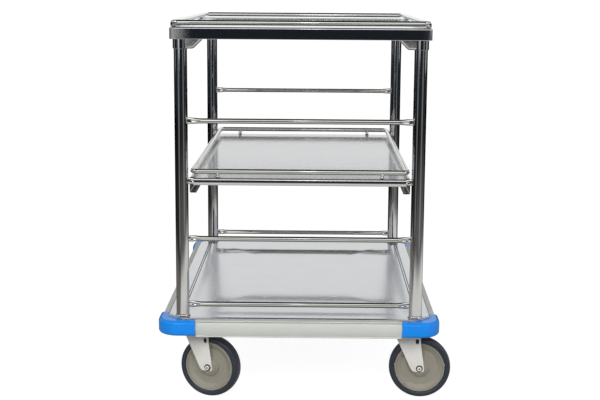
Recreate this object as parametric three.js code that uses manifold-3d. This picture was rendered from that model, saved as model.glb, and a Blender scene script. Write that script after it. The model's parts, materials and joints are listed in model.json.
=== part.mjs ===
// Stainless shelf and transport cart: a bumpered deck on four swivel casters, four round posts with
// rungs across both ends, a lift-off middle shelf and a top tray, both with rod gallery rails.
// Millimetres, +Z up, +X to the right, +Y to the back, origin on the floor under the cart's middle.

import * as THREE from "three";
import { mergeVertices } from "three/addons/utils/BufferGeometryUtils.js";
import Module from "manifold-3d";

// ---- driving dimensions ----

const FIT_GAP = 0.3; // clearance between pieces that touch
const SHEET = 1.6; // tray and shelf sheet
const ROD_RADIUS = 6.35; // half-inch rod of the rungs and gallery rails

const POST = { x: 283, y: 447, radius: 15.875, wall: 1.6, footRadius: 18.5, footHeight: 5 };

const DECK = { halfX: 321.5, halfY: 470.5, top: 212, bottom: 184.5, wall: 2, chamfer: 38 };
const DECK_FIELD = { halfX: 262, halfY: 424, depth: 0.5 };
const DECK_GROOVE = { x: 290, width: 6, depth: 1, halfLength: 425 };
const BUMPER = { bottom: 168.5, top: 209, depth: 16, lip: 13, lipHeight: 4 };
const CORNER = { bottom: 171.5, top: 208.2, depth: 21.5, leg: 71.5, planRadius: 50, edgeRadius: 7 };
const UNDERFRAME = { wall: 3, crossHalfX: 300, crossWidth: 100, railX: 150, railWidth: 50 };

const RUNG_HEIGHTS = [241.7, 404.2, 544.8, 689.3];
const RUNG_END = { height: 16, thickness: 5, flat: 6, taper: 7 };

const TOP_TRAY = { halfX: 307, halfY: 474, top: 911, apron: 28.5, cornerRadius: 9, edgeRadius: 2.5 };
const TOP_FIELD = { halfX: 290, halfY: 437, depth: 0.5 };
const TOP_GALLERY = { halfX: 300.5, halfY: 448, height: 921, bend: 16 };
const TOP_STANDOFF = { radius: 5.5, frontY: -434, rearY: 281 };
const BRACKET = { bottom: 860, collarRadius: 18.2, reach: 52, slantBottom: 31, thickness: 28, wall: 2.5 };

const SHELF = { halfX: 265, halfY: 456, top: 553.2, apronBottom: 536, apronHalfX: 254 };
const SHELF_FIELD = { halfX: 248, halfY: 437, depth: 0.5 };
const SHELF_CHANNEL = { bottom: 514.5, halfLength: 437, flange: 16 };
const SHELF_GALLERY = { halfX: 257, halfY: 446, height: 568.4, bend: 14 };
const SHELF_STANDOFF = { radius: 4, x: 197 };

const CASTER = { x: 258.4, y: 401, trail: 42, plateTop: 184.2, plate: 4, plateX: 95, plateY: 70 };
const RACE = { outerRadius: 31, innerRadius: 24.4, bottom: 170, bossRadius: 23.3, bossTop: 176 };
const KING_PIN = { radius: 6, holeRadius: 6.8, nutRadius: 10, nutBottom: 152.5, nutTop: 157.5 };
const FORK = { inside: 18.6, wall: 3, back: -20, front: 44, crownBottom: 158, crownTop: 161.5 };
const CROWN_RADIUS = 29;
const LEG_SLOT = { x: 35.7, low: 142.6, high: 146.6, radius: 4 };
const AXLE = { radius: 5.8, holeRadius: 6.4, headRadius: 8, headHeight: 5.2, nutRadius: 8.6, nutHeight: 6 };
const WHEEL = { radius: 76.2, halfWidth: 15.9, rimRadius: 62, boreRadius: 10.2, hubHalfWidth: 17 };
const BUSH = { innerRadius: 6.4, outerRadius: 9.4, halfLength: 18.2 };

// Each caster's place, and the angle of its trail from +X about the vertical king pin.
const CASTERS = [
  { name: "front_left", x: -CASTER.x, y: -CASTER.y, trailAngle: -18 },
  { name: "front_right", x: CASTER.x, y: -CASTER.y, trailAngle: -5 },
  { name: "rear_left", x: -CASTER.x, y: CASTER.y, trailAngle: 175 },
  { name: "rear_right", x: CASTER.x, y: CASTER.y, trailAngle: 162 },
];
const CORNERS = [
  { name: "front_left", sx: -1, sy: -1, turn: 180 },
  { name: "front_right", sx: 1, sy: -1, turn: 270 },
  { name: "rear_left", sx: -1, sy: 1, turn: 90 },
  { name: "rear_right", sx: 1, sy: 1, turn: 0 },
];

// ---- materials ----

function finish(color, roughness, metalness) {
  return () => new THREE.MeshStandardMaterial({ color, roughness, metalness });
}

const polishedSteel = finish(0xc9ccce, 0.12, 1);
const brushedSteel = finish(0xb9bcbf, 0.32, 1);
const stampedSteel = finish(0xbab7b0, 0.42, 1);
const bumperPlastic = finish(0xc3c8be, 0.55, 0);
const bluePlastic = finish(0x218cf0, 0.3, 0);
const wheelPlastic = finish(0x96917f, 0.5, 0);
const tyreRubber = finish(0x2e333d, 0.6, 0);

// ---- solids ----

const wasm = await Module();
wasm.setup();

// A closed geometry as a solid that can be joined and cut.
function solid(geometry) {
  const bare = geometry.clone();
  bare.deleteAttribute("normal");
  bare.deleteAttribute("uv");
  const merged = mergeVertices(bare, 1e-4);
  const index = merged.index.array;
  const triangles = [];
  for (let i = 0; i < index.length; i += 3) {
    const [a, b, c] = [index[i], index[i + 1], index[i + 2]];
    if (a !== b && b !== c && c !== a) triangles.push(a, b, c);
  }
  const mesh = new wasm.Mesh({
    numProp: 3,
    vertProperties: new Float32Array(merged.attributes.position.array),
    triVerts: new Uint32Array(triangles),
  });
  return new wasm.Manifold(mesh);
}

function geometryOf(body) {
  const mesh = body.getMesh();
  const geometry = new THREE.BufferGeometry();
  geometry.setAttribute("position", new THREE.BufferAttribute(mesh.vertProperties, 3));
  geometry.setIndex(new THREE.BufferAttribute(mesh.triVerts, 1));
  geometry.computeVertexNormals();
  return geometry;
}

function union(...geometries) {
  return geometries.map(solid).reduce((whole, piece) => whole.add(piece));
}

function cut(body, ...geometries) {
  return geometries.map(solid).reduce((whole, piece) => whole.subtract(piece), body);
}

function shapeOf(points) {
  return new THREE.Shape(points.map(([x, y]) => new THREE.Vector2(x, y)));
}

// A plan outline raised from z = bottom to z = top.
function prism(shape, bottom, top) {
  const geometry = new THREE.ExtrudeGeometry(shape, { depth: top - bottom, bevelEnabled: false });
  return geometry.translate(0, 0, bottom);
}

function block(minX, maxX, minY, maxY, minZ, maxZ) {
  const geometry = new THREE.BoxGeometry(maxX - minX, maxY - minY, maxZ - minZ);
  return geometry.translate((minX + maxX) / 2, (minY + maxY) / 2, (minZ + maxZ) / 2);
}

function cylinder(radius, bottom, top, segments) {
  const geometry = new THREE.CylinderGeometry(radius, radius, top - bottom, segments);
  return geometry.rotateX(Math.PI / 2).translate(0, 0, (bottom + top) / 2);
}

// A profile of [radius, height] points turned about +Z: the outer wall runs upwards.
function turned(points, segments) {
  return turnedAboutY(points, segments).rotateX(Math.PI / 2);
}

// The same about +Y, with a vertex straight above and straight below the axis.
function turnedAboutY(points, segments) {
  return new THREE.LatheGeometry(points.map(([r, h]) => new THREE.Vector2(r, h)), segments);
}

// The shallow field pressed into the upper side of a deck or tray, clear of all that stands on its rim.
function pressedField({ halfX, halfY, depth }, top) {
  return block(-halfX, halfX, -halfY, halfY, top - depth, top + 1);
}

// A rectangle with its four corners cut at 45 degrees.
function chamferedPlan(halfX, halfY, chamfer) {
  const points = [];
  for (const [sx, sy] of [[1, 1], [-1, 1], [-1, -1], [1, -1]]) {
    const onSide = [sx * halfX, sy * (halfY - chamfer)];
    const onEnd = [sx * (halfX - chamfer), sy * halfY];
    points.push(...(sx === sy ? [onSide, onEnd] : [onEnd, onSide]));
  }
  return shapeOf(points);
}

function roundedPlan(halfX, halfY, radius) {
  const shape = new THREE.Shape();
  shape.moveTo(halfX, -halfY + radius);
  shape.absarc(halfX - radius, halfY - radius, radius, 0, Math.PI / 2, false);
  shape.absarc(-halfX + radius, halfY - radius, radius, Math.PI / 2, Math.PI, false);
  shape.absarc(-halfX + radius, -halfY + radius, radius, Math.PI, Math.PI * 1.5, false);
  shape.absarc(halfX - radius, -halfY + radius, radius, Math.PI * 1.5, Math.PI * 2, false);
  return shape;
}

// A rod bent into a closed rectangle with rounded corners, lying flat at one height.
function rodLoop(halfX, halfY, bend, height) {
  const arcSteps = 4;
  const stations = [];
  [[1, 1], [-1, 1], [-1, -1], [1, -1]].forEach(([sx, sy], corner) => {
    for (let step = 0; step <= arcSteps; step++) {
      const angle = (corner + step / arcSteps) * (Math.PI / 2);
      const outward = new THREE.Vector3(Math.cos(angle), Math.sin(angle), 0);
      const centre = new THREE.Vector3(sx * (halfX - bend), sy * (halfY - bend), height);
      stations.push({ centre: centre.addScaledVector(outward, bend), outward });
    }
  });
  const sides = 10;
  const geometry = new THREE.TorusGeometry(1, ROD_RADIUS, sides, stations.length);
  const position = geometry.attributes.position;
  for (let side = 0; side <= sides; side++) {
    const around = (side / sides) * Math.PI * 2;
    for (let turn = 0; turn <= stations.length; turn++) {
      const { centre, outward } = stations[turn % stations.length];
      const point = centre.clone().addScaledVector(outward, ROD_RADIUS * Math.cos(around));
      point.z += ROD_RADIUS * Math.sin(around);
      position.setXYZ(side * (stations.length + 1) + turn, point.x, point.y, point.z);
    }
  }
  return geometry;
}

// ---- scene graph helpers ----

const cart = new THREE.Group();

function place(parent, name, geometry, material, x = 0, y = 0, z = 0, turnDegrees = 0) {
  const mesh = new THREE.Mesh(geometry, material());
  mesh.name = name;
  mesh.position.set(x, y, z);
  mesh.rotation.z = THREE.MathUtils.degToRad(turnDegrees);
  parent.add(mesh);
}

// ---- deck ----

function deckPan() {
  const { halfX, halfY, top, bottom, wall, chamfer } = DECK;
  const inset = chamfer - wall * (2 - Math.SQRT2);
  const outside = prism(chamferedPlan(halfX, halfY, chamfer), bottom, top);
  const underside = prism(chamferedPlan(halfX - wall, halfY - wall, inset), bottom - 1, top - wall);
  const grooves = [-1, 1].map((side) => {
    const middle = side * DECK_GROOVE.x;
    const half = DECK_GROOVE.width / 2;
    const { halfLength, depth } = DECK_GROOVE;
    return block(middle - half, middle + half, -halfLength, halfLength, top - depth, top + 1);
  });
  return geometryOf(cut(solid(outside), underside, pressedField(DECK_FIELD, top), ...grooves));
}

// Two cross channels over the casters joined by two long channels, all open at the top.
function underframe() {
  const { wall, crossHalfX, crossWidth, railX, railWidth } = UNDERFRAME;
  const bottom = CASTER.plateTop + FIT_GAP;
  const top = DECK.top - DECK.wall - FIT_GAP;
  const ladder = (inset, low, high) => {
    const members = [];
    for (const side of [-1, 1]) {
      const halfWidth = crossWidth / 2 - inset;
      const y = side * CASTER.y;
      members.push(block(-crossHalfX + inset, crossHalfX - inset, y - halfWidth, y + halfWidth, low, high));
      const x = side * railX;
      const halfRail = railWidth / 2 - inset;
      const reach = CASTER.y - crossWidth / 4;
      members.push(block(x - halfRail, x + halfRail, -reach, reach, low, high));
    }
    return union(...members);
  };
  return geometryOf(ladder(0, bottom, top).subtract(ladder(wall, bottom + wall, top + 1)));
}

// A crowned bumper section with a thin lip along its bottom, for the front of the deck.
function straightBumper(length) {
  const { bottom, top, depth, lip, lipHeight } = BUMPER;
  const crownSteps = 6;
  const low = bottom + lipHeight;
  const high = top - lipHeight / 2;
  const points = [[FIT_GAP, bottom], [lip, bottom], [lip + 1, bottom + lipHeight / 2]];
  for (let step = 0; step <= crownSteps; step++) {
    const across = (2 * step) / crownSteps - 1;
    points.push([depth - (depth - lip) * across * across, low + ((high - low) * (across + 1)) / 2]);
  }
  points.push([lip - 2, top], [FIT_GAP, top]);
  const geometry = new THREE.ExtrudeGeometry(shapeOf(points), { depth: length, bevelEnabled: false });
  const toFront = new THREE.Matrix4().makeBasis(
    new THREE.Vector3(0, -1, 0),
    new THREE.Vector3(0, 0, 1),
    new THREE.Vector3(-1, 0, 0),
  );
  return geometry.applyMatrix4(toFront).translate(length / 2, 0, 0);
}

// The rear right corner bumper, measured from the deck's square corner, with both edges rounded over.
function cornerBumper() {
  const { bottom, top, depth, leg, planRadius, edgeRadius } = CORNER;
  const inner = FIT_GAP;
  const chamfer = DECK.chamfer - FIT_GAP * (Math.SQRT2 - 1);
  const shape = new THREE.Shape();
  shape.moveTo(depth, -leg);
  shape.absarc(depth - planRadius, depth - planRadius, planRadius, 0, Math.PI / 2, false);
  shape.lineTo(-leg, depth);
  shape.lineTo(-leg, inner);
  shape.lineTo(-chamfer, inner);
  shape.lineTo(inner, -chamfer);
  shape.lineTo(inner, -leg);
  return new THREE.ExtrudeGeometry(shape, {
    depth: top - bottom - 2 * edgeRadius,
    bevelThickness: edgeRadius,
    bevelSize: edgeRadius,
    bevelOffset: -edgeRadius,
    bevelSegments: 2,
    curveSegments: 6,
  }).translate(0, 0, bottom + edgeRadius);
}

function addDeck() {
  place(cart, "deck_pan", deckPan(), brushedSteel);
  place(cart, "underframe", underframe(), stampedSteel);
  const clearOfCorner = CORNER.leg + FIT_GAP;
  const across = straightBumper(2 * (DECK.halfX - clearOfCorner));
  const along = straightBumper(2 * (DECK.halfY - clearOfCorner));
  place(cart, "bumper_front", across, bumperPlastic, 0, -DECK.halfY, 0, 0);
  place(cart, "bumper_rear", across, bumperPlastic, 0, DECK.halfY, 0, 180);
  place(cart, "bumper_right", along, bumperPlastic, DECK.halfX, 0, 0, 90);
  place(cart, "bumper_left", along, bumperPlastic, -DECK.halfX, 0, 0, 270);
  for (const { name, sx, sy, turn } of CORNERS) {
    const [x, y] = [sx * DECK.halfX, sy * DECK.halfY];
    place(cart, `bumper_corner_${name}`, cornerBumper(), bluePlastic, x, y, 0, turn);
  }
}

// ---- posts and rungs ----

// A tube from the deck to the underside of the top tray, with a weld fillet around its foot.
function post() {
  const bottom = DECK.top + FIT_GAP;
  const top = TOP_TRAY.top - SHEET - FIT_GAP;
  const bore = POST.radius - POST.wall;
  const profile = [
    [bore, bottom],
    [POST.footRadius, bottom],
    [POST.radius, bottom + POST.footHeight],
    [POST.radius, top],
    [bore, top],
    [bore, bottom],
  ];
  return turned(profile, 16);
}

// A rod between two posts, pressed flat and tall at both ends where it is welded to them.
function rung() {
  const half = POST.x - POST.radius - FIT_GAP;
  const { flat, taper } = RUNG_END;
  const stations = [half, half - flat, half - flat - taper / 2, half - flat - taper];
  const flatness = [1, 1, 0.5, 0];
  const rings = 2 * stations.length;
  const sides = 10;
  const geometry = new THREE.CylinderGeometry(1, 1, 2, sides, rings - 1).rotateZ(Math.PI / 2);
  const position = geometry.attributes.position;
  for (let i = 0; i < position.count; i++) {
    const ring = Math.round(((position.getX(i) + 1) / 2) * (rings - 1));
    const fromEnd = Math.min(ring, rings - 1 - ring);
    const x = Math.sign(ring - (rings - 1) / 2) * stations[fromEnd];
    const halfHeight = THREE.MathUtils.lerp(ROD_RADIUS, RUNG_END.height / 2, flatness[fromEnd]);
    const halfDepth = THREE.MathUtils.lerp(ROD_RADIUS, RUNG_END.thickness / 2, flatness[fromEnd]);
    position.setXYZ(i, x, position.getY(i) * halfDepth, position.getZ(i) * halfHeight);
  }
  return geometry;
}

function addPostsAndRungs() {
  for (const { name, sx, sy } of CORNERS) {
    place(cart, `post_${name}`, post(), polishedSteel, sx * POST.x, sy * POST.y);
  }
  RUNG_HEIGHTS.forEach((height, level) => {
    place(cart, `rung_front_${level + 1}`, rung(), polishedSteel, 0, -POST.y, height);
    place(cart, `rung_rear_${level + 1}`, rung(), polishedSteel, 0, POST.y, height);
  });
}

// ---- top tray ----

function topTray() {
  const { halfX, halfY, top, apron, cornerRadius, edgeRadius } = TOP_TRAY;
  const outside = new THREE.ExtrudeGeometry(roundedPlan(halfX, halfY, cornerRadius), {
    depth: apron - 2 * edgeRadius,
    bevelThickness: edgeRadius,
    bevelSize: edgeRadius,
    bevelOffset: -edgeRadius,
    bevelSegments: 2,
    curveSegments: 4,
  }).translate(0, 0, top - apron + edgeRadius);
  const inside = roundedPlan(halfX - SHEET, halfY - SHEET, cornerRadius - SHEET);
  const underside = prism(inside, top - apron - 1, top - SHEET);
  return geometryOf(cut(solid(outside), underside, pressedField(TOP_FIELD, top)));
}

// The gallery loop with its short stand-offs, which end just above the sheet they are fixed to.
function gallery({ halfX, halfY, height, bend }, sheetTop, standoffRadius, places) {
  let body = solid(rodLoop(halfX, halfY, bend, height));
  for (const [x, y] of places) {
    body = body.add(solid(cylinder(standoffRadius, sheetTop + FIT_GAP, height, 10).translate(x, y, 0)));
  }
  return geometryOf(body);
}

// One wing of a bracket along -X, from the post's axis, shrunk on every side but its top by an inset.
function bracketWing(inset, top) {
  const { bottom, reach, slantBottom, thickness } = BRACKET;
  const low = bottom + inset;
  const end = -reach + inset;
  const slant = inset * (Math.SQRT2 - 1);
  const slantTop = bottom + reach - slantBottom + slant;
  const side = shapeOf([[0, low], [-slantBottom + slant, low], [end, slantTop], [end, top], [0, top]]);
  const wing = new THREE.ExtrudeGeometry(side, { depth: thickness - 2 * inset, bevelEnabled: false });
  return wing.translate(0, 0, inset - thickness / 2).rotateX(Math.PI / 2);
}

// A collar around the post with a hollow wing each way under the tray, for the rear right post.
function bracket() {
  const { bottom, collarRadius, wall } = BRACKET;
  const top = TOP_TRAY.top - SHEET - FIT_GAP;
  const bothWings = (inset, height) => {
    const wing = bracketWing(inset, height);
    return union(wing, wing.clone().rotateZ(Math.PI / 2));
  };
  const shell = bothWings(0, top).subtract(bothWings(wall, top + 1));
  const body = shell.add(solid(cylinder(collarRadius, bottom, top, 16)));
  return geometryOf(cut(body, cylinder(POST.radius + 0.7, bottom - 1, top + 1, 16)));
}

function addTop() {
  const { radius, frontY, rearY } = TOP_STANDOFF;
  const places = [];
  for (const x of [-TOP_GALLERY.halfX, TOP_GALLERY.halfX]) {
    places.push([x, frontY], [x, rearY]);
  }
  place(cart, "top_tray", topTray(), polishedSteel);
  place(cart, "top_gallery_rail", gallery(TOP_GALLERY, TOP_TRAY.top, radius, places), polishedSteel);
  for (const { name, sx, sy, turn } of CORNERS) {
    place(cart, `bracket_${name}`, bracket(), polishedSteel, sx * POST.x, sy * POST.y, 0, turn);
  }
}

// ---- middle shelf ----

// A tray that hangs over a pair of rungs: short aprons outside the rungs, deep channels along the sides.
function shelfTray() {
  const { halfX, halfY, top, apronBottom, apronHalfX } = SHELF;
  const { bottom, halfLength, flange } = SHELF_CHANNEL;
  const cover = union(
    block(-halfX, halfX, -halfLength, halfLength, top - SHEET, top),
    block(-apronHalfX, apronHalfX, -halfY, halfY, top - SHEET, top),
  );
  const folds = [];
  for (const side of [-1, 1]) {
    const apron = [side * halfY, side * (halfY - SHEET)].sort((a, b) => a - b);
    const web = [side * halfX, side * (halfX - SHEET)].sort((a, b) => a - b);
    const lip = [side * halfX, side * (halfX - flange)].sort((a, b) => a - b);
    folds.push(block(-apronHalfX, apronHalfX, ...apron, apronBottom, top));
    folds.push(block(...web, -halfLength, halfLength, bottom, top));
    folds.push(block(...lip, -halfLength, halfLength, bottom, bottom + SHEET));
  }
  return geometryOf(cut(cover.add(union(...folds)), pressedField(SHELF_FIELD, top)));
}

function addShelf() {
  const { radius, x } = SHELF_STANDOFF;
  const y = SHELF_GALLERY.halfY;
  const places = [[-x, -y], [x, -y], [-x, y], [x, y]];
  place(cart, "shelf_tray", shelfTray(), polishedSteel);
  place(cart, "shelf_gallery_rail", gallery(SHELF_GALLERY, SHELF.top, radius, places), polishedSteel);
}

// ---- casters, in a frame at the king pin with the trail along +X and the axle along Y ----

// The plate bolted under the deck, with four bolt heads and the upper race.
function casterPlate() {
  const { plateTop, plate, plateX, plateY } = CASTER;
  const plateBottom = plateTop - plate;
  const boltHead = 4.5;
  let body = solid(block(-plateX / 2, plateX / 2, -plateY / 2, plateY / 2, plateBottom, plateTop));
  for (const [x, y] of [[1, 1], [-1, 1], [-1, -1], [1, -1]]) {
    const head = cylinder(6.5, plateBottom - boltHead, plateBottom + 1, 6);
    body = body.add(solid(head.translate(x * (plateX / 2 - 9), y * (plateY / 2 - 9), 0)));
  }
  body = body.add(solid(cylinder(RACE.outerRadius, RACE.bottom, plateBottom + 1, 20)));
  body = cut(body, cylinder(RACE.innerRadius, RACE.bottom - 1, plateBottom, 20));
  return geometryOf(cut(body, cylinder(KING_PIN.radius + 0.7, plateBottom - 1, plateTop + 1, 12)));
}

function kingPin() {
  const { radius, nutRadius, nutBottom, nutTop } = KING_PIN;
  const top = CASTER.plateTop - FIT_GAP;
  return turned([[0, nutBottom], [nutRadius, nutBottom], [nutRadius, nutTop], [radius, nutTop],
    [radius, top], [0, top]], 12);
}

// One leg's outline in [trail, height]: wide under the crown and narrow at the axle.
function legOutline() {
  return shapeOf([
    [FORK.back, FORK.crownTop],
    [20, 75.5],
    [22.5, 70.5],
    [27.5, 67.5],
    [50, 67],
    [53.5, 70],
    [53.5, 75],
    [51, 97],
    [44.5, 137],
    [FORK.front, FORK.crownTop],
  ]);
}

// An upright slot through both legs, rounded at its ends.
function legSlot() {
  const { x, low, high, radius } = LEG_SLOT;
  const shape = new THREE.Shape();
  shape.absarc(x, high, radius, 0, Math.PI, false);
  shape.absarc(x, low, radius, Math.PI, Math.PI * 2, false);
  const reach = 2 * (FORK.inside + FORK.wall);
  const geometry = new THREE.ExtrudeGeometry(shape, { depth: reach, bevelEnabled: false, curveSegments: 4 });
  return geometry.translate(0, 0, -reach / 2).rotateX(Math.PI / 2);
}

function fork() {
  const { crownBottom, crownTop, back, front, inside, wall } = FORK;
  const outside = inside + wall;
  const leg = new THREE.ExtrudeGeometry(legOutline(), { depth: wall, bevelEnabled: false });
  leg.rotateX(Math.PI / 2);
  const axleHole = cylinder(AXLE.holeRadius, -outside - 1, outside + 1, 12).rotateX(Math.PI / 2);
  const body = union(
    leg.clone().translate(0, -inside, 0),
    leg.clone().translate(0, outside, 0),
    block(back, front, -outside, outside, crownBottom, crownTop),
    cylinder(CROWN_RADIUS, crownBottom, crownTop, 20),
    cylinder(RACE.bossRadius, crownBottom, RACE.bossTop, 20),
  );
  const pinHole = cylinder(KING_PIN.holeRadius, crownBottom - 1, RACE.bossTop + 1, 12);
  return geometryOf(cut(body, axleHole.translate(CASTER.trail, 0, WHEEL.radius), legSlot(), pinHole));
}

function axleBolt() {
  const { radius, headRadius, headHeight, nutRadius, nutHeight } = AXLE;
  const face = FORK.inside + FORK.wall + FIT_GAP;
  return turnedAboutY([
    [0, -face - headHeight],
    [headRadius * 0.6, -face - headHeight],
    [headRadius, -face - headHeight * 0.6],
    [headRadius, -face],
    [radius, -face],
    [radius, face],
    [nutRadius, face],
    [nutRadius, face + nutHeight],
    [0, face + nutHeight],
  ], 12);
}

function bush() {
  const { innerRadius, outerRadius, halfLength } = BUSH;
  return turnedAboutY([[innerRadius, -halfLength], [outerRadius, -halfLength], [outerRadius, halfLength],
    [innerRadius, halfLength], [innerRadius, -halfLength]], 16);
}

// A closed ring profile from the lower half of its outline, mirrored to the other side of the wheel.
function mirroredRing(half) {
  const mirrored = half.map(([r, v]) => [r, -v]).reverse();
  return [...half, ...mirrored, half[0]];
}

function wheelCore() {
  const { boreRadius, hubHalfWidth, rimRadius } = WHEEL;
  return turnedAboutY(mirroredRing([
    [boreRadius, -hubHalfWidth],
    [17.5, -hubHalfWidth],
    [20.8, -14.5],
    [21.8, -6],
    [47, -5],
    [56, -13],
    [60.8, -14.6],
    [rimRadius, -13.5],
  ]), 20);
}

function tyre() {
  return turnedAboutY(mirroredRing([
    [WHEEL.rimRadius + 0.9, -14.2],
    [69, -WHEEL.halfWidth],
    [74, -12],
    [WHEEL.radius, -5],
  ]), 28);
}

function addCaster({ name, x, y, trailAngle }) {
  const plate = `caster_${name}_plate`;
  place(cart, plate, casterPlate(), stampedSteel, x, y);
  const swivel = new THREE.Group();
  swivel.position.set(x, y, 0);
  swivel.rotation.z = THREE.MathUtils.degToRad(trailAngle);
  cart.add(swivel);
  const axle = [CASTER.trail, 0, WHEEL.radius];
  place(swivel, `caster_${name}_king_pin`, kingPin(), stampedSteel);
  place(swivel, `caster_${name}_fork`, fork(), stampedSteel);
  place(swivel, `caster_${name}_axle_bolt`, axleBolt(), stampedSteel, ...axle);
  place(swivel, `caster_${name}_bush`, bush(), stampedSteel, ...axle);
  place(swivel, `caster_${name}_wheel_core`, wheelCore(), wheelPlastic, ...axle);
  place(swivel, `caster_${name}_tyre`, tyre(), tyreRubber, ...axle);
}

addDeck();
addPostsAndRungs();
addTop();
addShelf();
CASTERS.forEach(addCaster);

export default cart;
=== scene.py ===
import json
import math

import bmesh
import bpy
from mathutils import Matrix, Vector


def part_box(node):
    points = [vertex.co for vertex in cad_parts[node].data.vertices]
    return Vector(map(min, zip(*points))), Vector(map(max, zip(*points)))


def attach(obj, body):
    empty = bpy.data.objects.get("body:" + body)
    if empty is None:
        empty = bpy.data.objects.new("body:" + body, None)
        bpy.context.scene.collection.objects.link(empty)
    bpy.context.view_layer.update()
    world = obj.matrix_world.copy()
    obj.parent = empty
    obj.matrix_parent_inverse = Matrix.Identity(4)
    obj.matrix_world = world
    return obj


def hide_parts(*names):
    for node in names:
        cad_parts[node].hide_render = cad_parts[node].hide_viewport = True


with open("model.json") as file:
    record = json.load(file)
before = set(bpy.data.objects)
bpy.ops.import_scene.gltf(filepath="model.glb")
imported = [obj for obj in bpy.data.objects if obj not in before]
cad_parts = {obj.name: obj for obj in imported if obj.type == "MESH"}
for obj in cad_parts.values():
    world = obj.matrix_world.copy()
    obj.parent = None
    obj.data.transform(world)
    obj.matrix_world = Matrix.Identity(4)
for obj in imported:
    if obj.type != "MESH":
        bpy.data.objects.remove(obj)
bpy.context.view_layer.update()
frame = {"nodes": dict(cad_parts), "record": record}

MM = 0.001
# clearance between pieces that are fixed to each other
GAP = 0.3 * MM
# radius of the rod that rungs and gallery rails are made of
ROD = 6.35 * MM
POST_RADIUS = 15.875 * MM
WHEEL_RADIUS = 76.2 * MM
# thickness of the posts' and trays' metal
SHEET = 1.6 * MM
# radius of the hole round the king pin
PIN_HOLE = 6.8 * MM
# the cut across each corner of the deck
DECK_CHAMFER = 38 * MM
# how far from the middle, in mm, the two grooves along each side of the deck run
GROOVES = (286, 291.5)
# half size, in mm, of the deck's shallow cross break
BREAK_X = 258
BREAK_Y = 438
CORNERS = {"front_left": (-1, -1), "front_right": (1, -1), "rear_left": (-1, 1), "rear_right": (1, 1)}
JOINTS = {joint["name"]: joint for joint in frame["record"]["behaviour"]["joints"]}


# ---- material helpers ----


def new_material(name, colour, roughness, metallic):
    material = bpy.data.materials.new(name)
    material.use_nodes = True
    shader = material.node_tree.nodes["Principled BSDF"]
    shader.inputs["Base Color"].default_value = (*colour, 1)
    shader.inputs["Roughness"].default_value = roughness
    shader.inputs["Metallic"].default_value = metallic
    return material, material.node_tree, shader


def coordinates(tree, stretch):
    """The piece's own coordinates in metres, multiplied along each axis."""
    source = tree.nodes.new("ShaderNodeTexCoord")
    mapping = tree.nodes.new("ShaderNodeMapping")
    mapping.inputs["Scale"].default_value = stretch
    tree.links.new(source.outputs["Object"], mapping.inputs["Vector"])
    return mapping.outputs["Vector"]


def components(tree, kind="Object"):
    """X, Y and Z of the piece's own coordinates, or of a direction in the room."""
    source = tree.nodes.new("ShaderNodeTexCoord")
    split = tree.nodes.new("ShaderNodeSeparateXYZ")
    tree.links.new(source.outputs[kind], split.inputs["Vector"])
    return split.outputs


def noise(tree, scale, stretch=(1, 1, 1), detail=3):
    texture = tree.nodes.new("ShaderNodeTexNoise")
    texture.inputs["Scale"].default_value = scale
    texture.inputs["Detail"].default_value = detail
    tree.links.new(coordinates(tree, stretch), texture.inputs["Vector"])
    return texture.outputs["Fac"]


def remap(tree, value, low, high, start=0.3, end=0.7):
    """value from start to end becomes low to high, and stops there."""
    node = tree.nodes.new("ShaderNodeMapRange")
    node.inputs["From Min"].default_value = start
    node.inputs["From Max"].default_value = end
    node.inputs["To Min"].default_value = low
    node.inputs["To Max"].default_value = high
    tree.links.new(value, node.inputs["Value"])
    return node.outputs["Result"]


def arithmetic(tree, operation, first, second):
    """One sum on two values, each a number or the output of a node."""
    node = tree.nodes.new("ShaderNodeMath")
    node.operation = operation
    for socket, value in zip(node.inputs, (first, second)):
        if isinstance(value, (int, float)):
            socket.default_value = value
        else:
            tree.links.new(value, socket)
    return node.outputs[0]


def blend_colours(tree, factor, first, second):
    """first where factor is 0 and second where it is 1. Each is a colour or the output of a node."""
    node = tree.nodes.new("ShaderNodeMix")
    node.data_type = "RGBA"
    for socket, colour in zip(node.inputs[6:8], (first, second)):
        if isinstance(colour, tuple):
            socket.default_value = (*colour, 1)
        else:
            tree.links.new(colour, socket)
    tree.links.new(factor, node.inputs[0])
    return node.outputs[2]


def bump(tree, shader, height, strength, distance):
    node = tree.nodes.new("ShaderNodeBump")
    node.inputs["Strength"].default_value = strength
    node.inputs["Distance"].default_value = distance
    tree.links.new(height, node.inputs["Height"])
    tree.links.new(node.outputs["Normal"], shader.inputs["Normal"])


# ---- materials ----


def steel(name, light, dark, smooth, rough, grain, grain_scale=900, depth=0.02 * MM, metallic=1):
    """Steel with a cloudy tone and roughness, and grain stretched by the three numbers of grain."""
    material, tree, shader = new_material(name, light, smooth, metallic)
    clouds = noise(tree, 14)
    tree.links.new(blend_colours(tree, remap(tree, clouds, 0, 1), light, dark), shader.inputs["Base Color"])
    streaks = noise(tree, grain_scale, grain, 4)
    tree.links.new(remap(tree, streaks, smooth, rough), shader.inputs["Roughness"])
    bump(tree, shader, streaks, 0.25, depth)
    return material


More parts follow.
